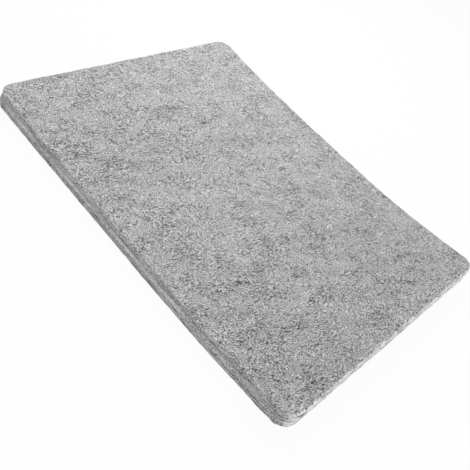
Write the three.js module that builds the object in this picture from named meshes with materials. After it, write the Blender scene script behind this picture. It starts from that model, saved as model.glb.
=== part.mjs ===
import * as THREE from 'three';

// A laminated felt ironing pad, in millimetres, +Z up. The long side lies along X.
// Two thick felt plies are glued face to face by a thin adhesive web. The pad is soft,
// and its ends curl up a little from the flat middle zone that it rests on.

// Plan of the upper ply, whose face is the one that is ironed on
const PAD_LENGTH = 305;
const PAD_WIDTH = 229;
const CORNER_RADIUS = 10.5;

// Thickness of each ply and of the adhesive web
const UPPER_PLY_THICKNESS = 6.4;
const LOWER_PLY_THICKNESS = 6.4;
const WEB_THICKNESS = 0.3;
// The glued faces are bent, so they stay this far apart and never cross
const GLUE_CLEARANCE = 0.05;

// The lower ply stands out past the upper one all round
const LOWER_PLY_PROUD = 0.8;
// The web is cut with the upper ply, and its edge shows as a thin line just inside the rim
const WEB_SET_BACK = 0.05;

// Arrises of the cut felt: wide on the open faces, tight on the glued ones
const OPEN_ARRIS_WIDTH = 1.8;
const OPEN_ARRIS_HEIGHT = 1.7;
const GLUED_ARRIS_WIDTH = 0.3;
const GLUED_ARRIS_HEIGHT = 0.4;

// Curl: how far each corner is lifted, and half the length of the flat middle zone
const FLAT_HALF_LENGTH = 30;
const LIFT_MINUS_X_MINUS_Y = 1.3;
const LIFT_MINUS_X_PLUS_Y = 5.5;
const LIFT_PLUS_X_PLUS_Y = 10;
const LIFT_PLUS_X_MINUS_Y = 6.6;

// How finely the forms are divided
const CURLED_END_STEPS = 6;
const SHORT_SIDE_STEPS = 6;
const CORNER_STEPS = 5;
const OPEN_ARRIS_STEPS = 4;
const GLUED_ARRIS_STEPS = 2;
// Rings across each face, as shares of the pad's plan, with rounder corners inwards. The
// first one lies inside the flat zone
const FACE_RING_SHARES = [0.12, 0.36, 0.62, 0.86];
const FACE_RING_ROUNDING = 0.2;

// Points of a straight run, without its last point
function run(from, to, steps) {
  const points = [];
  for (let i = 0; i < steps; i += 1) {
    points.push(from.clone().lerp(to, i / steps));
  }
  return points;
}

// Rounded rectangle that starts in the middle of the +X side and goes anticlockwise
function outline(length, width, radius) {
  const a = length / 2 - radius;
  const b = width / 2 - radius;
  const corner = (centreX, centreY, startAngle) => {
    const arc = new THREE.EllipseCurve(
      centreX, centreY, radius, radius, startAngle, startAngle + Math.PI / 2,
    );
    return arc.getPoints(CORNER_STEPS).slice(0, CORNER_STEPS);
  };
  const at = (x, y) => new THREE.Vector2(x, y);
  // A long side has points where the flat zone ends, so that the curl starts on one line
  const flatEnd = a > FLAT_HALF_LENGTH ? FLAT_HALF_LENGTH : a / 2;
  const longSide = (sign, y) => [
    ...run(at(sign * a, y), at(sign * flatEnd, y), CURLED_END_STEPS),
    at(sign * flatEnd, y),
    ...run(at(-sign * flatEnd, y), at(-sign * a, y), CURLED_END_STEPS),
  ];
  return [
    ...run(at(length / 2, 0), at(length / 2, b), SHORT_SIDE_STEPS / 2),
    ...corner(a, b, 0),
    ...longSide(1, width / 2),
    ...corner(-a, b, Math.PI / 2),
    ...run(at(-length / 2, b), at(-length / 2, -b), SHORT_SIDE_STEPS),
    ...corner(-a, -b, Math.PI),
    ...longSide(-1, -width / 2),
    ...corner(a, -b, 1.5 * Math.PI),
    ...run(at(length / 2, -b), at(length / 2, 0), SHORT_SIDE_STEPS / 2),
  ];
}

// The pad's own outline, grown all round by a distance, or shrunk by a negative one
function grownOutline(growth) {
  return outline(PAD_LENGTH + 2 * growth, PAD_WIDTH + 2 * growth, CORNER_RADIUS + growth);
}

// Rings that divide a face between its rim and its middle, all pieces alike
function faceRings(height) {
  return FACE_RING_SHARES.map((share) => {
    const width = PAD_WIDTH * share;
    return { points: outline(PAD_LENGTH * share, width, FACE_RING_ROUNDING * width), height };
  });
}

// How steeply a curled end has risen at x, from 0 at the flat zone to 1 at the end
function curlShare(x, sign) {
  const reach = PAD_LENGTH / 2 - FLAT_HALF_LENGTH;
  return Math.max(0, sign * x - FLAT_HALF_LENGTH) / reach;
}

// Lift of one end: it varies across the width between the end's two corner lifts
function endLift(x, y, sign, liftMinusY, liftPlusY) {
  const share = curlShare(x, sign);
  const across = (liftPlusY + liftMinusY) / 2 + ((liftPlusY - liftMinusY) * y) / PAD_WIDTH;
  return across * share * share;
}

function lift(x, y) {
  return endLift(x, y, -1, LIFT_MINUS_X_MINUS_Y, LIFT_MINUS_X_PLUS_Y)
    + endLift(x, y, 1, LIFT_PLUS_X_MINUS_Y, LIFT_PLUS_X_PLUS_Y);
}

// A point of the pad, at a height above its underside measured square to the bent sheet
function bent(x, y, height) {
  const step = 0.5;
  const slopeX = (lift(x + step, y) - lift(x - step, y)) / (2 * step);
  const slopeY = (lift(x, y + step) - lift(x, y - step)) / (2 * step);
  const up = new THREE.Vector3(-slopeX, -slopeY, 1).normalize();
  return new THREE.Vector3(x, y, lift(x, y)).addScaledVector(up, height);
}

// A closed solid from rings that run from the middle of its lower face, out round the
// edge and in to the middle of its upper face
function solidFromRings(rings) {
  const count = rings[0].points.length;
  const positions = [];
  const indices = [];
  rings.forEach(({ points, height }) => {
    points.forEach((p) => positions.push(...bent(p.x, p.y, height).toArray()));
  });
  for (let ring = 0; ring + 1 < rings.length; ring += 1) {
    // The diagonals of upper and lower faces are laid alike, so that glued faces match
    const risesInwards = ring >= rings.length / 2;
    for (let i = 0; i < count; i += 1) {
      const next = (i + 1) % count;
      const a = ring * count + i;
      const b = ring * count + next;
      const c = a + count;
      const d = b + count;
      if (risesInwards) {
        indices.push(a, b, c, b, d, c);
      } else {
        indices.push(a, b, d, a, d, c);
      }
    }
  }
  // Each face is closed by a fan from its middle point to its innermost ring
  const close = (ring, upward) => {
    const centre = positions.length / 3;
    positions.push(...bent(0, 0, rings[ring].height).toArray());
    for (let i = 0; i < count; i += 1) {
      const here = ring * count + i;
      const next = ring * count + ((i + 1) % count);
      indices.push(centre, upward ? here : next, upward ? next : here);
    }
  };
  close(0, false);
  close(rings.length - 1, true);
  const geometry = new THREE.BufferGeometry();
  geometry.setAttribute('position', new THREE.Float32BufferAttribute(positions, 3));
  geometry.setIndex(indices);
  return geometry;
}

// Quarter round of an arris, from the side of the ply to its face
function arris(growth, width, height, steps, faceHeight, upward) {
  const rings = [];
  for (let i = 0; i <= steps; i += 1) {
    const angle = (i / steps) * (Math.PI / 2);
    const drop = height * (1 - Math.sin(angle));
    rings.push({
      points: grownOutline(growth - width * (1 - Math.cos(angle))),
      height: upward ? faceHeight - drop : faceHeight + drop,
    });
  }
  return upward ? rings : rings.reverse();
}

function openArris(growth, faceHeight, upward) {
  return arris(
    growth, OPEN_ARRIS_WIDTH, OPEN_ARRIS_HEIGHT, OPEN_ARRIS_STEPS, faceHeight, upward,
  );
}

function gluedArris(growth, faceHeight, upward) {
  return arris(
    growth, GLUED_ARRIS_WIDTH, GLUED_ARRIS_HEIGHT, GLUED_ARRIS_STEPS, faceHeight, upward,
  );
}

const LOWER_TOP = LOWER_PLY_THICKNESS;
const WEB_BOTTOM = LOWER_TOP + GLUE_CLEARANCE;
const WEB_TOP = WEB_BOTTOM + WEB_THICKNESS;
const UPPER_BOTTOM = WEB_TOP + GLUE_CLEARANCE;
const UPPER_TOP = UPPER_BOTTOM + UPPER_PLY_THICKNESS;

// The rim of the web and that of the upper ply's glued face, repeated on the pieces that
// they touch, so that all of them bend exactly alike
function webRim(height) {
  return { points: grownOutline(-WEB_SET_BACK), height };
}

function gluedRim(height) {
  return { points: grownOutline(-GLUED_ARRIS_WIDTH), height };
}

const lowerPly = solidFromRings([
  ...faceRings(0),
  ...openArris(LOWER_PLY_PROUD, 0, false),
  ...gluedArris(LOWER_PLY_PROUD, LOWER_TOP, true),
  webRim(LOWER_TOP),
  gluedRim(LOWER_TOP),
  ...faceRings(LOWER_TOP).reverse(),
]);

const glueWeb = solidFromRings([
  ...faceRings(WEB_BOTTOM),
  gluedRim(WEB_BOTTOM),
  webRim(WEB_BOTTOM),
  webRim(WEB_TOP),
  gluedRim(WEB_TOP),
  ...faceRings(WEB_TOP).reverse(),
]);

const upperPly = solidFromRings([
  ...faceRings(UPPER_BOTTOM),
  ...gluedArris(0, UPPER_BOTTOM, false),
  ...openArris(0, UPPER_TOP, true),
  ...faceRings(UPPER_TOP).reverse(),
]);

function felt(colour) {
  return new THREE.MeshStandardMaterial({ color: colour, roughness: 1, metalness: 0 });
}

function piece(name, geometry, material) {
  geometry.computeVertexNormals();
  const mesh = new THREE.Mesh(geometry, material);
  mesh.name = name;
  return mesh;
}

const pad = new THREE.Group();
pad.name = 'felt_ironing_pad';
pad.add(piece('lower_felt_ply', lowerPly, felt(0xa2a2a2)));
pad.add(piece('glue_web', glueWeb, new THREE.MeshStandardMaterial({
  color: 0xd6d6d2,
  roughness: 0.6,
  metalness: 0,
})));
pad.add(piece('upper_felt_ply', upperPly, felt(0xaaaaaa)));

// The origin is under the middle of the pad's box
const box = new THREE.Box3().setFromObject(pad);
const middle = box.getCenter(new THREE.Vector3());
pad.children.forEach((mesh) => mesh.geometry.translate(-middle.x, -middle.y, -box.min.z));

export default pad;
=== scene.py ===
import math
import random
from collections import namedtuple

import bmesh
import bpy
from mathutils import Matrix, Vector, noise


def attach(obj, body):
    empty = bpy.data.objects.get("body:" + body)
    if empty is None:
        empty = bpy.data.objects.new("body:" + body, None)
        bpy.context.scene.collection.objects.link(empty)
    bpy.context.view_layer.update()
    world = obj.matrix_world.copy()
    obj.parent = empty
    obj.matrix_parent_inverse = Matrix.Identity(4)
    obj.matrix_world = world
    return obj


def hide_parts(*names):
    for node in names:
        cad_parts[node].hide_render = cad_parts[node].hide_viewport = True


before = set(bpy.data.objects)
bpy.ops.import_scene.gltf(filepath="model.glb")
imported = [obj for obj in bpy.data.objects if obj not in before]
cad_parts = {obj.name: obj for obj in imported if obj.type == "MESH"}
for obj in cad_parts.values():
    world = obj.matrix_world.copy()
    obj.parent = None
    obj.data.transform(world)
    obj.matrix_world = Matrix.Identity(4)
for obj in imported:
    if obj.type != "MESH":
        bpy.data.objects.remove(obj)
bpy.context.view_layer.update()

# Sizes of the pad in metres, as in the part's source
PAD_LENGTH = 0.305
PAD_WIDTH = 0.229
CORNER_RADIUS = 0.0105
PLY_THICKNESS = 0.0064
WEB_THICKNESS = 0.0003
WEB_SET_BACK = 0.00005
GLUE_CLEARANCE = 0.00005

# Curl, as in the part's source: half the length of the flat middle zone and the lift of each
# corner. The slope of the bent sheet is taken over a small step
FLAT_HALF_LENGTH = 0.030
LIFT_MINUS_X_MINUS_Y = 0.0013
LIFT_MINUS_X_PLUS_Y = 0.0055
LIFT_PLUS_X_PLUS_Y = 0.010
LIFT_PLUS_X_MINUS_Y = 0.0066
SLOPE_STEP = 0.0005

# Arrises of the cut felt: those on top and at the glue are tighter than on the solids
TOP_ARRIS = 0.0010
BOTTOM_ARRIS = 0.0018
GLUED_ARRIS = 0.00015
CORNER_SEGMENTS = 16
ARRIS_SEGMENTS = 5

# Heights in the pad before it is bent
LOWER_TOP = PLY_THICKNESS
WEB_BOTTOM = LOWER_TOP + GLUE_CLEARANCE
WEB_TOP = WEB_BOTTOM + WEB_THICKNESS
UPPER_BOTTOM = WEB_TOP + GLUE_CLEARANCE
UPPER_TOP = UPPER_BOTTOM + PLY_THICKNESS

# Plan of each piece and its middle: the upper ply is glued on a little off the middle, the
# lower one stands out along the long sides, and the web ends just inside the upper one's rim
Plan = namedtuple("Plan", "length width radius x y")
UPPER_PLAN = Plan(
    length=PAD_LENGTH + 0.0003,
    width=PAD_WIDTH - 0.0011,
    radius=CORNER_RADIUS,
    x=0.0004,
    y=0.00025,
)
LOWER_PLAN = Plan(
    length=PAD_LENGTH + 0.0004,
    width=PAD_WIDTH + 0.0012,
    radius=CORNER_RADIUS,
    x=0.0001,
    y=0.0,
)
WEB_PLAN = UPPER_PLAN._replace(
    length=UPPER_PLAN.length - 2 * WEB_SET_BACK,
    width=UPPER_PLAN.width - 2 * WEB_SET_BACK,
)

# A ply has one open face, which looks up (1) or down (-1), with an arris round it
Ply = namedtuple("Ply", "plan bottom open_side open_height arris")
UPPER_PLY = Ply(UPPER_PLAN, UPPER_BOTTOM, 1, UPPER_TOP, TOP_ARRIS)
LOWER_PLY = Ply(LOWER_PLAN, 0.0, -1, 0.0, BOTTOM_ARRIS)

# How finely the plies are cut: for the bend all over, and for the relief of the open side
BEND_CUT = 0.0096
FACE_CUT = 0.0016
SIDE_CUT = 0.0011
CUT_TOLERANCE = 1e-7
FACE_TOLERANCE = 1e-6
# Past this share of the thickness from the middle, a point of a slab lies on its face
FACE_LEVEL = 0.499

# Relief of the felt: depth and size of its swells, lumps and grain, and of the ragged cut.
# Fractal noise is given by its falling off, the step between its layers and their number
SWELL_DEPTH = 0.00018
SWELL_SIZE = 0.030
LUMP_DEPTH = 0.00012
LUMP_SIZE = 0.005
LUMP_NOISE = (1.0, 2.0, 2)
GRAIN_DEPTH = 0.00010
GRAIN_SIZE = 0.0023
CUT_WANDER = 0.00022
CUT_WANDER_SIZE = 0.006
CUT_WANDER_FLATNESS = 2.5
CUT_WANDER_NOISE = (0.9, 2.0, 3)
CUT_WANDER_REACH = 0.004
# Shares of a ply's thickness, from the glued face to the open one: the face's relief sets in
# and is whole, the cut begins to wander, and the face that lies on the table begins
RELIEF_START = 0.5
RELIEF_WHOLE = 0.75
WANDER_START = 0.02
RESTING_START = 0.98

# The wool lies mostly along this heading, in radians from the pad's long side
WOOL_HEADING = math.radians(74)

# Stray fibres: points along each, thickness with its least, most and commonest share, how far
# the middle stands off the felt and the tips sink in
FIBRE_POINTS = 6
FIBRE_THICKNESS = 0.00015
FIBRE_THICKNESS_SHARES = (0.5, 2.0, 0.7)
FIBRE_RISE = 0.00012
FIBRE_SINK = 0.00004
# Those on a face: length, spread of headings, and of bends in radians per metre
FACE_FIBRE_LENGTH = (0.003, 0.011)
FACE_FIBRE_TURN = 0.7
FACE_FIBRE_BEND = 130.0
DARK_FACE_FIBRES = 1100
PALE_FACE_FIBRES = 1500
# Those on the cut sides: length, where one starts and how far one may climb as shares of the
# thickness, and spread of slopes
SIDE_FIBRE_LENGTH = (0.003, 0.010)
SIDE_FIBRE_START = (0.15, 0.85)
SIDE_FIBRE_LIMITS = (0.08, 0.92)
SIDE_FIBRE_SLOPE = 0.12
SIDE_FIBRES = 320

# Tones of the felt and of single fibres from root to tip, as seen on a screen from 0 to 1,
# and the power that makes such a tone a colour
UPPER_FELT_TONE = 0.681
LOWER_FELT_TONE = 0.675
DARK_WOOL_TONES = (0.16, 0.34)
PALE_WOOL_TONES = (0.80, 0.72)
TONE_POWER = 2.2

# Wool isn't laid straight: size of its sways, and their reach in clumps and in combed grain
SWAY_SIZE = 0.006
CLUMP_SWAY = 0.003
COMBED_SWAY = 0.0013
# Layers of grain: blob size along the wool, across it and up, and how strongly each shades
GRAIN_LAYERS = (
    ((0.016, 0.010, 0.006), 0.07),
    ((0.0022, 0.0007, 0.0013), 0.15),
    ((0.0008, 0.00036, 0.0008), 2.25),
)
# Matted strands: headings off the main one of the wool, size, shading over a range of the
# noise, and the range over which a strand becomes a dark one
STRAND_TURNS = (-0.55, -0.18, 0.17, 0.52)
STRAND_SIZE = (0.0030, 0.0006, 0.0012)
STRAND_RANGE = (0.2, 0.8)
STRAND_SHADES = (0.03, -0.03)
DARK_STRAND_RANGE = (0.62, 0.74)
DARK_STRAND_SHADES = (0.0, -0.255)
# Clumps in which dark strands gather, and their share between and in clumps
CLUMP_SIZE = (0.022, 0.013, 0.005)
CLUMP_DETAIL = 1.0
CLUMP_RANGE = (0.60, 0.34)
CLUMP_SHARES = (0.12, 1.0)
# The widest clouds of grey: their size, weight and where their pattern is centred
CLOUD_SIZE = (0.070, 0.044, 0.030)
CLOUD_WEIGHT = 0.075
CLOUD_MIDDLE = (1.622, 1.594, 0.0)

# The cut sides begin over these depths from the open face
SIDE_DEPTHS = (0.0004, 0.0018)
# Towards the ends of the pad the grain of the cut sides gets calmer, over these distances
END_CALM_REACH = (0.006, 0.002)
END_CALM_SHARES = (0.0, 0.75)
# Carded layers show on the cut sides as long thin streaks, which fade towards the ends
STRATA_SIZE = (0.036, 0.036, 0.0010)
STRATA_SWAY_SIZE = 0.02
STRATA_SWAY = 0.0008
STRATA_RANGE = (0.3, 0.7)
STRATA_SHADES = (0.11, -0.16)
STREAK_FADE_REACH = (0.024, 0.007)
STREAK_FADE_SHARES = (1.0, 0.15)
# Limits of tone: darkest wool, palest wool on the face and on the cut sides, and its easing
DARKEST_TONE = 0.12
PALEST_TONES = (0.85, 0.74)
PALEST_EASING = 0.2
# Painted highlight: the rim at the glue is painted pale, as where light catches the ledge
# between the plies, from this height to this one off the glued face
GLUED_RIM_HIGHLIGHT_HEIGHTS = (0.0002, 0.0001)
GLUED_RIM_HIGHLIGHT_SHADES = (0.0, 0.20)
# How rough, glossy, fuzzy and bumpy each finish is
FELT_FINISH = {
    "Roughness": 1.0,
    "Specular IOR Level": 0.1,
    "Sheen Weight": 0.15,
    "Sheen Roughness": 0.6,
}
FELT_BUMP = {"Strength": 0.2, "Distance": 0.0003}
STRAND_FINISH = {"Roughness": 0.8, "Specular IOR Level": 0.2}
GLUE_FINISH = {"Roughness": 0.55}
# Patches where the glue soaked in: size, detail, range of the noise and greys
GLUE_PATCH_SIZE = (0.002, 0.002, 0.002)
GLUE_PATCH_DETAIL = 2.0
GLUE_PATCH_RANGE = (0.3, 0.7)
GLUE_PATCH_GREYS = (0.5, 0.7)

# The camera of the photograph, on a square frame of this many pixels
FRAME_PIXELS = 470
FOCAL_PIXELS = 619.94
SENSOR_WIDTH = 36.0
NEAREST_SEEN = 0.01
CAMERA_AZIMUTH = math.radians(26.262)
CAMERA_ELEVATION = math.radians(43.300)
CAMERA_ROLL = math.radians(28.154)
CAMERA_DISTANCE = 0.44312
CAMERA_AIM = Vector((0.02694, -0.03089, 0.0))

# Studio: strength of the sky as light, the floor, and the place, width, height and watts of
# each softbox, which all aim at the middle of the pad
WHITE = (1.0, 1.0, 1.0, 1.0)
SKY_LIGHT = 0.42
FLOOR_REACH = 3.0
FLOOR_DROP = 0.0002
FLOOR_GREY = (0.8, 0.8, 0.8, 1.0)
FLOOR_WHITE_SHARE = 0.95
SOFTBOXES = (
    ("key_softbox", (-0.20, 0.20, 0.40), 0.5, 0.5, 1.95),
    ("end_softbox", (2.82, 1.03, 0.15), 1.0, 0.28, 108.0),
    ("front_softbox", (0.10, -0.75, 0.42), 0.6, 0.3, 2.6),
)


def end_lift(x, y, sign, lift_minus_y, lift_plus_y):
    """Lift of one curled end, which varies between its two corners."""
    share = max(0.0, sign * x - FLAT_HALF_LENGTH) / (PAD_LENGTH / 2 - FLAT_HALF_LENGTH)
    across = (lift_plus_y + lift_minus_y) / 2 + (lift_plus_y - lift_minus_y) * y / PAD_WIDTH
    return across * share * share


def lift(x, y):
    """How far the curl lifts a place of the pad."""
    return end_lift(x, y, -1, LIFT_MINUS_X_MINUS_Y, LIFT_MINUS_X_PLUS_Y) + end_lift(
        x, y, 1, LIFT_PLUS_X_MINUS_Y, LIFT_PLUS_X_PLUS_Y
    )


def bent(flat):
    """A point of the flat pad on the curled one, its height square to the bent sheet."""
    x, y, height = flat
    slope_x = (lift(x + SLOPE_STEP, y) - lift(x - SLOPE_STEP, y)) / (2 * SLOPE_STEP)
    slope_y = (lift(x, y + SLOPE_STEP) - lift(x, y - SLOPE_STEP)) / (2 * SLOPE_STEP)
    up = Vector((-slope_x, -slope_y, 1.0)).normalized()
    return Vector((x, y, lift(x, y))) + up * height


def inside_rim(x, y, plan):
    """How far a point lies inside the ply's rounded outline."""
    over_x = abs(x - plan.x) - (plan.length / 2 - plan.radius)
    over_y = abs(y - plan.y) - (plan.width / 2 - plan.radius)
    outside = math.hypot(max(over_x, 0.0), max(over_y, 0.0))
    return plan.radius - outside - min(max(over_x, over_y), 0.0)


def rim_place(share, plan):
    """A place on the ply's outline, by its share of the way round, and the way out there."""
    radius = plan.radius
    straights = (plan.width - 2 * radius, plan.length - 2 * radius)
    quarter = math.pi / 2 * radius
    travel = share % 1.0 * (2 * sum(straights) + 4 * quarter)
    turn_point = Vector((plan.x + straights[1] / 2, plan.y - straights[0] / 2))
    for side in range(4):
        angle = side * math.pi / 2
        out = Vector((math.cos(angle), math.sin(angle)))
        along = Vector((-out.y, out.x))
        straight = straights[side % 2]
        if travel < straight:
            return turn_point + along * travel + out * radius, out
        travel -= straight
        turn_point += along * straight
        if travel < quarter:
            angle += travel / radius
            out = Vector((math.cos(angle), math.sin(angle)))
            return turn_point + out * radius, out
        travel -= quarter
    return turn_point + Vector((radius, 0.0)), Vector((1.0, 0.0))


def cut_across(bm, geom, axis, reach, spacing):
    """Cuts faces by evenly spaced planes, so that they can bend and take relief."""
    count = max(1, round(2 * reach / spacing))
    normal = Vector((0.0, 0.0, 0.0))
    normal[axis] = 1.0
    for i in range(1, count):
        place = normal * reach * (2 * i / count - 1)
        cut = bmesh.ops.bisect_plane(
            bm, geom=geom, dist=CUT_TOLERANCE, plane_co=place, plane_no=normal
        )
        geom = cut["geom"]
    return geom


def cut_in_squares(bm, geom, plan, spacing):
    """Cuts faces both along the pad and across it."""
    geom = cut_across(bm, geom, 0, plan.length / 2, spacing)
    cut_across(bm, geom, 1, plan.width / 2, spacing)


def whole(bm):
    """All of a mesh, for the cuts."""
    return bm.verts[:] + bm.edges[:] + bm.faces[:]


def all_but_glued_face(bm, open_side):
    """The mesh of a ply without its glued face, which stays plain."""
    glued = open_side * (FACE_TOLERANCE - PLY_THICKNESS / 2)
    faces = [f for f in bm.faces if any((v.co.z - glued) * open_side > 0 for v in f.verts)]
    edges = dict.fromkeys(edge for face in faces for edge in face.edges)
    verts = dict.fromkeys(vert for face in faces for vert in face.verts)
    return [*verts, *edges, *faces]


def round_edges(bm, edges, width, segments):
    """Rounds edges off by a quarter circle."""
    bmesh.ops.bevel(
        bm,
        geom=edges,
        offset=width,
        offset_type="OFFSET",
        segments=segments,
        profile=0.5,
        affect="EDGES",
        material=-1,
    )


def rounded_slab(plan, thickness, under_arris, over_arris):
    """A slab with the pad's rounded corners and softened arrises."""
    bm = bmesh.new()
    bmesh.ops.create_cube(bm, size=1.0)
    bmesh.ops.scale(bm, vec=(plan.length, plan.width, thickness), verts=bm.verts)
    uprights = [e for e in bm.edges if abs(e.verts[0].co.z - e.verts[1].co.z) > thickness / 2]
    round_edges(bm, uprights, plan.radius, CORNER_SEGMENTS)
    level = thickness * FACE_LEVEL
    for side, width in ((-1, under_arris), (1, over_arris)):
        if width:
            rim = [e for e in bm.edges if all(v.co.z * side > level for v in e.verts)]
            round_edges(bm, rim, width, ARRIS_SEGMENTS)
    bmesh.ops.translate(bm, vec=(plan.x, plan.y, 0.0), verts=bm.verts)
    return bm


def face_relief(place):
    """How far the felt's open face stands in or out: swells, lumps and grain."""
    swell = noise.noise(place / SWELL_SIZE) * SWELL_DEPTH
    lumps = noise.fractal(place / LUMP_SIZE, *LUMP_NOISE) * LUMP_DEPTH
    grain = noise.noise(place / GRAIN_SIZE) * GRAIN_DEPTH
    return swell + lumps + grain


def cut_relief(place):
    """How far the cut side wanders in or out, in strata along the ply."""
    streak = Vector((place.x, place.y, place.z * CUT_WANDER_FLATNESS)) / CUT_WANDER_SIZE
    return noise.fractal(streak, *CUT_WANDER_NOISE) * CUT_WANDER


def felt_relief(place, height_share, rim_distance):
    """How far a point of a ply stands in or out, by where it lies on the ply."""
    face_share = (height_share - RELIEF_START) / (RELIEF_WHOLE - RELIEF_START)
    face_share = min(1.0, max(0.0, face_share))
    side_share = max(0.0, 1.0 - rim_distance / CUT_WANDER_REACH)
    if height_share < WANDER_START:
        side_share = 0.0
    return face_relief(place) * face_share + cut_relief(place) * side_share


def mesh_of(name, bm):
    mesh = bpy.data.meshes.new(name)
    bm.to_mesh(mesh)
    bm.free()
    return mesh


def finished(name, mesh, material, slot, *stands_for):
    """A finished piece of the pad, with the solids that it stands for."""
    for polygon in mesh.polygons:
        polygon.use_smooth = True
    mesh.materials.append(material)
    piece = bpy.data.objects.new(name, mesh)
    bpy.context.scene.collection.objects.link(piece)
    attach(piece, "root")
    for node in stands_for:
        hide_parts(node)
    return piece


def felt_ply(name, ply, material, slot, node):
    """One felt ply, curled, with the relief of felt on its open face and cut sides."""
    plan, open_side = ply.plan, ply.open_side
    arrises = (GLUED_ARRIS, ply.arris) if open_side > 0 else (ply.arris, GLUED_ARRIS)
    bm = rounded_slab(plan, PLY_THICKNESS, *arrises)
    cut_in_squares(bm, whole(bm), plan, BEND_CUT)
    geom = all_but_glued_face(bm, open_side)
    geom = cut_across(bm, geom, 2, PLY_THICKNESS / 2, SIDE_CUT)
    cut_in_squares(bm, geom, plan, FACE_CUT)
    bm.normal_update()
    felt_place = bm.verts.layers.float_vector.new("felt_place")
    middle = Vector((0.0, 0.0, ply.bottom + PLY_THICKNESS / 2))
    for vert in bm.verts:
        height_share = vert.co.z * open_side / PLY_THICKNESS + 0.5
        place = vert.co + middle
        vert[felt_place] = place
        stand = felt_relief(place, height_share, inside_rim(vert.co.x, vert.co.y, plan))
        if open_side < 0 and height_share > RESTING_START:
            stand = min(stand, 0.0)
        place += vert.normal * stand
        vert.co = bent((place.x, place.y, max(place.z, 0.0)))
    return finished(name, mesh_of(name, bm), material, slot, node)


def glue_web(name, material, slot, node):
    """The thin adhesive web between the plies."""
    bm = rounded_slab(WEB_PLAN, WEB_THICKNESS, 0.0, 0.0)
    cut_in_squares(bm, whole(bm), WEB_PLAN, BEND_CUT)
    middle = Vector((0.0, 0.0, (WEB_BOTTOM + WEB_TOP) / 2))
    for vert in bm.verts:
        vert.co = bent(vert.co + middle)
    return finished(name, mesh_of(name, bm), material, slot, node)


def round_off(depth, arris):
    """How far a rounded arris lies under the flat at a depth from the sharp corner."""
    short = arris - min(depth, arris)
    return arris - math.sqrt(arris**2 - short**2)


def fibre_rise(i):
    """How far a point of a fibre stands off the felt: its tips sink in and its middle arches."""
    return math.sin(math.pi * i / (FIBRE_POINTS - 1)) * FIBRE_RISE - FIBRE_SINK


def face_fibre(draw, ply):
    """Points of one stray fibre on a ply's open face, or none if it would leave the face."""
    x = draw.uniform(-PAD_LENGTH / 2, PAD_LENGTH / 2)
    y = draw.uniform(-PAD_WIDTH / 2, PAD_WIDTH / 2)
    heading = draw.gauss(WOOL_HEADING, FACE_FIBRE_TURN)
    step = draw.uniform(*FACE_FIBRE_LENGTH) / (FIBRE_POINTS - 1)
    bend = draw.gauss(0.0, FACE_FIBRE_BEND)
    points = []
    for i in range(FIBRE_POINTS):
        depth = inside_rim(x, y, ply.plan)
        if depth < 0.0:
            return None
        stand = face_relief(Vector((x, y, ply.open_height)))
        stand += fibre_rise(i) - round_off(depth, ply.arris)
        height = ply.open_height + ply.open_side * stand
        points.append(bent((x, y, max(height, FIBRE_THICKNESS))))
        x += math.cos(heading) * step
        y += math.sin(heading) * step
        heading += bend * step
    return points


def side_fibre(draw, ply):
    """Points of one stray fibre along a ply's cut side."""
    around = 2 * (PAD_LENGTH + PAD_WIDTH)
    share = draw.random()
    height = draw.uniform(*SIDE_FIBRE_START) * PLY_THICKNESS
    slope = draw.gauss(0.0, SIDE_FIBRE_SLOPE)
    step = draw.uniform(*SIDE_FIBRE_LENGTH) / (FIBRE_POINTS - 1)
    lowest, highest = (limit * PLY_THICKNESS for limit in SIDE_FIBRE_LIMITS)
    points = []
    for i in range(FIBRE_POINTS):
        place, out = rim_place(share, ply.plan)
        flat = Vector((*place, ply.bottom + height))
        depth = height if ply.open_side < 0 else PLY_THICKNESS - height
        stand = fibre_rise(i)
        stand += cut_relief(flat) - round_off(depth, ply.arris)
        points.append(bent(flat + Vector((*out, 0.0)) * stand))
        share += step / around
        height = min(max(height + slope * step, lowest), highest)
    return points


def fibre_tangle(name, seed, on_face, ply, material, slot):
    """Stray wool fibres that lie on a ply's open face and along its cut sides."""
    draw = random.Random(seed)
    strands = [face_fibre(draw, ply) for _ in range(on_face)]
    strands += [side_fibre(draw, ply) for _ in range(SIDE_FIBRES)]
    curve = bpy.data.curves.new(name, "CURVE")
    curve.dimensions = "3D"
    curve.bevel_depth = FIBRE_THICKNESS / 2
    curve.bevel_resolution = 0
    curve.use_fill_caps = True
    for strand in strands:
        if strand:
            spline = curve.splines.new("POLY")
            spline.points.add(FIBRE_POINTS - 1)
            thickness = draw.triangular(*FIBRE_THICKNESS_SHARES)
            for point, place in zip(spline.points, strand):
                point.co = (*place, 1.0)
                point.radius = thickness
    holder = bpy.data.objects.new(name + "_lines", curve)
    mesh = bpy.data.meshes.new_from_object(holder)
    mesh.name = name
    mesh.materials.clear()
    bpy.data.objects.remove(holder)
    bpy.data.curves.remove(curve)
    return finished(name, mesh, material, slot)


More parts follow.
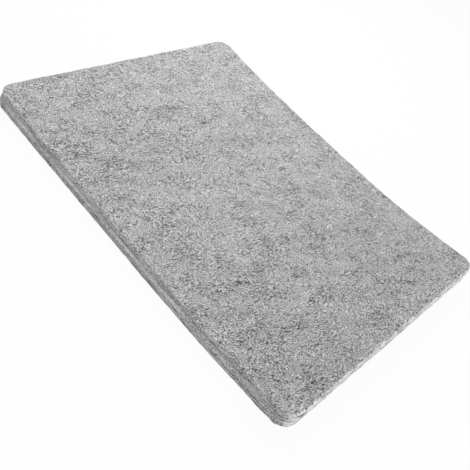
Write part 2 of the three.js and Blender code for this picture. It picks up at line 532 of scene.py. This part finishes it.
class Nodes:
    """Short ways to add the shader nodes that the pad's materials use."""

    def __init__(self, name):
        self.material = bpy.data.materials.new(name)
        self.material.use_nodes = True
        self.tree = self.material.node_tree
        self.shader = self.tree.nodes["Principled BSDF"]

    def add(self, kind):
        return self.tree.nodes.new(kind)

    def link(self, source, socket):
        self.tree.links.new(source, socket)

    def felt_place(self):
        """Where a point lies on the flat ply, so that patterns follow the curl."""
        node = self.add("ShaderNodeAttribute")
        node.attribute_name = "felt_place"
        return node.outputs["Vector"]

    def coordinates(self, kind):
        return self.add("ShaderNodeTexCoord").outputs[kind]

    def split(self, vector):
        node = self.add("ShaderNodeSeparateXYZ")
        self.link(vector, node.inputs["Vector"])
        return node.outputs

    def noise(self, place, size, turn=0.0, detail=0.0, output="Fac", middle=(0.0, 0.0, 0.0)):
        """Noise whose blobs have this size in metres along, across and up, turned in plan."""
        mapping = self.add("ShaderNodeMapping")
        mapping.vector_type = "TEXTURE"
        mapping.inputs["Location"].default_value = middle
        mapping.inputs["Rotation"].default_value = (0.0, 0.0, turn)
        mapping.inputs["Scale"].default_value = size
        self.link(place, mapping.inputs["Vector"])
        node = self.add("ShaderNodeTexNoise")
        node.inputs["Scale"].default_value = 1.0
        node.inputs["Detail"].default_value = detail
        self.link(mapping.outputs["Vector"], node.inputs["Vector"])
        return node.outputs[output]

    def math(self, operation, *values):
        node = self.add("ShaderNodeMath")
        node.operation = operation
        for socket, value in zip(node.inputs, values):
            if isinstance(value, (int, float)):
                socket.default_value = value
            else:
                self.link(value, socket)
        return node.outputs[0]

    def between(self, value, low, high, to_low=0.0, to_high=1.0):
        """A value mapped from one range to another, and held at its ends."""
        node = self.add("ShaderNodeMapRange")
        node.inputs["From Min"].default_value = low
        node.inputs["From Max"].default_value = high
        node.inputs["To Min"].default_value = to_low
        node.inputs["To Max"].default_value = to_high
        self.link(value, node.inputs["Value"])
        return node.outputs["Result"]

    def swayed(self, place, size, amount):
        """Coordinates pushed about a little, so that fibres curve."""
        push = self.noise(place, (size, size, size), output="Color")
        node = self.add("ShaderNodeVectorMath")
        node.operation = "MULTIPLY_ADD"
        node.inputs[1].default_value = (amount, amount, amount)
        self.link(push, node.inputs[0])
        self.link(place, node.inputs[2])
        return node.outputs["Vector"]

    def paint(self, tone):
        """Gives the surface a grey, from a tone as seen on a screen."""
        self.link(self.math("POWER", tone, TONE_POWER), self.shader.inputs["Base Color"])

    def bump(self, height, settings):
        node = self.add("ShaderNodeBump")
        for socket, value in settings.items():
            node.inputs[socket].default_value = value
        self.link(height, node.inputs["Height"])
        self.link(node.outputs["Normal"], self.shader.inputs["Normal"])

    def finish(self, settings):
        for socket, value in settings.items():
            self.shader.inputs[socket].default_value = value
        return self.material


def wool_grain(nodes, place, clumped):
    """Combed grain and matted strands, as shades lighter and darker than the felt's tone."""
    combed = nodes.swayed(place, SWAY_SIZE, COMBED_SWAY)
    total = -sum(weight for _, weight in GRAIN_LAYERS) / 2
    for size, weight in GRAIN_LAYERS:
        grey = nodes.noise(combed, size, WOOL_HEADING)
        total = nodes.math("MULTIPLY_ADD", grey, weight, total)
    clumps = nodes.noise(clumped, CLUMP_SIZE, WOOL_HEADING, CLUMP_DETAIL)
    dark_share = nodes.between(clumps, *CLUMP_RANGE, *CLUMP_SHARES)
    for turn in STRAND_TURNS:
        strand = nodes.noise(combed, STRAND_SIZE, WOOL_HEADING + turn)
        shade = nodes.between(strand, *STRAND_RANGE, *STRAND_SHADES)
        total = nodes.math("ADD", total, shade)
        dark = nodes.between(strand, *DARK_STRAND_RANGE, *DARK_STRAND_SHADES)
        total = nodes.math("MULTIPLY_ADD", dark, dark_share, total)
    return total


def towards_ends(nodes, from_middle, reach, shares):
    """A share that changes over a stretch before the ends of the pad."""
    start, end = (PAD_LENGTH / 2 - distance for distance in reach)
    return nodes.between(from_middle, start, end, *shares)


def heathered_felt(name, tone, open_height):
    """Grey felt of dark and pale wool, matted into short combed strands and soft clouds."""
    nodes = Nodes(name)
    place = nodes.felt_place()
    clumped = nodes.swayed(place, SWAY_SIZE, CLUMP_SWAY)
    total = wool_grain(nodes, place, clumped)

    # Where a point lies: how deep from the open face, on a cut side or not, near an end or not
    axes = nodes.split(place)
    depth = nodes.math("ABSOLUTE", nodes.math("SUBTRACT", axes["Z"], open_height))
    side_share = nodes.between(depth, *SIDE_DEPTHS)
    from_middle = nodes.math("ABSOLUTE", axes["X"])
    calm = towards_ends(nodes, from_middle, END_CALM_REACH, END_CALM_SHARES)
    streaked = towards_ends(nodes, from_middle, STREAK_FADE_REACH, STREAK_FADE_SHARES)

    grain_share = nodes.math("SUBTRACT", 1.0, nodes.math("MULTIPLY", side_share, calm))
    total = nodes.math("MULTIPLY", total, grain_share)
    clouds = nodes.noise(clumped, CLOUD_SIZE, WOOL_HEADING, middle=CLOUD_MIDDLE)
    cloud_tones = (tone - CLOUD_WEIGHT / 2, tone + CLOUD_WEIGHT / 2)
    total = nodes.math("ADD", total, nodes.between(clouds, 0.0, 1.0, *cloud_tones))

    # Streaks of the carded layers on the cut sides
    layered = nodes.swayed(place, STRATA_SWAY_SIZE, STRATA_SWAY)
    streak = nodes.between(nodes.noise(layered, STRATA_SIZE), *STRATA_RANGE, *STRATA_SHADES)
    streak_share = nodes.math("MULTIPLY", side_share, streaked)
    total = nodes.math("MULTIPLY_ADD", streak, streak_share, total)

    palest = nodes.between(side_share, 0.0, 1.0, *PALEST_TONES)
    total = nodes.math("MAXIMUM", total, DARKEST_TONE)
    total = nodes.math("SMOOTH_MIN", total, palest, PALEST_EASING)
    # Painted highlight: a pale line at the glued rim, where light catches the ledge between the
    # plies, fading towards the ends
    rim_depths = (PLY_THICKNESS - height for height in GLUED_RIM_HIGHLIGHT_HEIGHTS)
    rim_highlight = nodes.between(depth, *rim_depths, *GLUED_RIM_HIGHLIGHT_SHADES)
    total = nodes.math("MULTIPLY_ADD", rim_highlight, streaked, total)

    nodes.paint(total)
    nodes.bump(total, FELT_BUMP)
    return nodes.finish(FELT_FINISH)


def wool_strand(name, root_tone, tip_tone):
    """A single wool fibre, which changes tone a little from root to tip."""
    nodes = Nodes(name)
    along = nodes.split(nodes.coordinates("UV"))["X"]
    nodes.paint(nodes.between(along, 0.0, 1.0, root_tone, tip_tone))
    return nodes.finish(STRAND_FINISH)


def adhesive(name):
    """Pale hot-melt adhesive, a little uneven where it soaked in."""
    nodes = Nodes(name)
    place = nodes.coordinates("Object")
    patches = nodes.noise(place, GLUE_PATCH_SIZE, detail=GLUE_PATCH_DETAIL)
    grey = nodes.between(patches, *GLUE_PATCH_RANGE, *GLUE_PATCH_GREYS)
    nodes.link(grey, nodes.shader.inputs["Base Color"])
    return nodes.finish(GLUE_FINISH)


def background_rays(tree):
    """1 for the rays that should see the white background, and 0 for those that light."""
    path = tree.nodes.new("ShaderNodeLightPath")
    shares = path.outputs["Is Camera Ray"]
    for name in ("Is Glossy Ray", "Is Transmission Ray"):
        either = tree.nodes.new("ShaderNodeMath")
        either.operation = "MAXIMUM"
        tree.links.new(shares, either.inputs[0])
        tree.links.new(path.outputs[name], either.inputs[1])
        shares = either.outputs[0]
    return shares


def white_floor():
    """A finish that is white to the camera and still takes a soft shadow."""
    material = bpy.data.materials.new("white_floor")
    material.use_nodes = True
    tree = material.node_tree
    tree.nodes.clear()
    output = tree.nodes.new("ShaderNodeOutputMaterial")
    paint = tree.nodes.new("ShaderNodeBsdfDiffuse")
    paint.inputs["Color"].default_value = FLOOR_GREY
    white = tree.nodes.new("ShaderNodeEmission")
    white.inputs["Strength"].default_value = 1.0
    share = tree.nodes.new("ShaderNodeMath")
    share.operation = "MULTIPLY"
    share.inputs[1].default_value = FLOOR_WHITE_SHARE
    seen = tree.nodes.new("ShaderNodeMixShader")
    tree.links.new(background_rays(tree), share.inputs[0])
    tree.links.new(share.outputs[0], seen.inputs["Fac"])
    tree.links.new(paint.outputs[0], seen.inputs[1])
    tree.links.new(white.outputs[0], seen.inputs[2])
    tree.links.new(seen.outputs[0], output.inputs["Surface"])
    return material


def studio_floor():
    """The plain floor, a hair under the pad."""
    bm = bmesh.new()
    bmesh.ops.create_grid(bm, x_segments=2, y_segments=2, size=FLOOR_REACH)
    bmesh.ops.translate(bm, vec=(0.0, 0.0, -FLOOR_DROP), verts=bm.verts)
    mesh = mesh_of("studio_floor", bm)
    mesh.materials.append(white_floor())
    floor = bpy.data.objects.new("studio_floor", mesh)
    bpy.context.scene.collection.objects.link(floor)


def softbox(name, place, width, height, power):
    """A soft lamp that looks at the middle of the pad."""
    lamp = bpy.data.lights.new(name, "AREA")
    lamp.shape = "RECTANGLE"
    lamp.size = width
    lamp.size_y = height
    lamp.energy = power
    light = bpy.data.objects.new(name, lamp)
    bpy.context.scene.collection.objects.link(light)
    turn = (-Vector(place)).to_track_quat("-Z", "Y")
    light.matrix_world = Matrix.Translation(place) @ turn.to_matrix().to_4x4()


def studio_light():
    """An even sky, which is white behind the pad, and the softboxes."""
    world = bpy.data.worlds.new("studio")
    bpy.context.scene.world = world
    world.use_nodes = True
    tree = world.node_tree
    sky = tree.nodes["Background"]
    sky.inputs["Color"].default_value = WHITE
    strength = tree.nodes.new("ShaderNodeMapRange")
    strength.inputs["To Min"].default_value = SKY_LIGHT
    strength.inputs["To Max"].default_value = 1.0
    tree.links.new(background_rays(tree), strength.inputs["Value"])
    tree.links.new(strength.outputs["Result"], sky.inputs["Strength"])
    for settings in SOFTBOXES:
        softbox(*settings)


def photo_camera():
    """The camera at the photograph's place, turned and rolled as it was."""
    across = math.cos(CAMERA_ELEVATION)
    back = Vector(
        (
            math.sin(CAMERA_AZIMUTH) * across,
            -math.cos(CAMERA_AZIMUTH) * across,
            math.sin(CAMERA_ELEVATION),
        )
    )
    level = (-back).cross(Vector((0.0, 0.0, 1.0))).normalized()
    upright = level.cross(-back)
    c, s = math.cos(CAMERA_ROLL), math.sin(CAMERA_ROLL)
    right = level * c + upright * s
    up = upright * c - level * s
    lens = bpy.data.cameras.new("photo_camera")
    lens.sensor_width = SENSOR_WIDTH
    lens.lens = SENSOR_WIDTH * FOCAL_PIXELS / FRAME_PIXELS
    lens.clip_start = NEAREST_SEEN
    camera = bpy.data.objects.new("photo_camera", lens)
    bpy.context.scene.collection.objects.link(camera)
    turn = Matrix((right, up, back)).transposed().to_4x4()
    camera.matrix_world = Matrix.Translation(CAMERA_AIM + back * CAMERA_DISTANCE) @ turn
    bpy.context.scene.camera = camera


bpy.context.scene.view_settings.view_transform = "Standard"
photo_camera()
studio_light()
studio_floor()

lower_wool = heathered_felt("lower_ply_wool", LOWER_FELT_TONE, LOWER_PLY.open_height)
upper_wool = heathered_felt("upper_ply_wool", UPPER_FELT_TONE, UPPER_PLY.open_height)
dark_wool = wool_strand("dark_wool_strand", *DARK_WOOL_TONES)
pale_wool = wool_strand("pale_wool_strand", *PALE_WOOL_TONES)

lower_ply = felt_ply("lower_ply_felt", LOWER_PLY, lower_wool, "lower_felt", "lower_felt_ply")
web = glue_web("glue_web_sheet", adhesive("hot_melt_web"), "glue", "glue_web")
upper_ply = felt_ply("upper_ply_felt", UPPER_PLY, upper_wool, "upper_felt", "upper_felt_ply")
for name, seed, on_face, ply, wool, slot in (
    ("upper_dark_fibres", 11, DARK_FACE_FIBRES, UPPER_PLY, dark_wool, "upper_felt"),
    ("upper_pale_fibres", 12, PALE_FACE_FIBRES, UPPER_PLY, pale_wool, "upper_felt"),
    ("lower_dark_fibres", 13, DARK_FACE_FIBRES, LOWER_PLY, dark_wool, "lower_felt"),
    ("lower_pale_fibres", 14, PALE_FACE_FIBRES, LOWER_PLY, pale_wool, "lower_felt"),
):
    fibre_tangle(name, seed, on_face, ply, wool, slot)
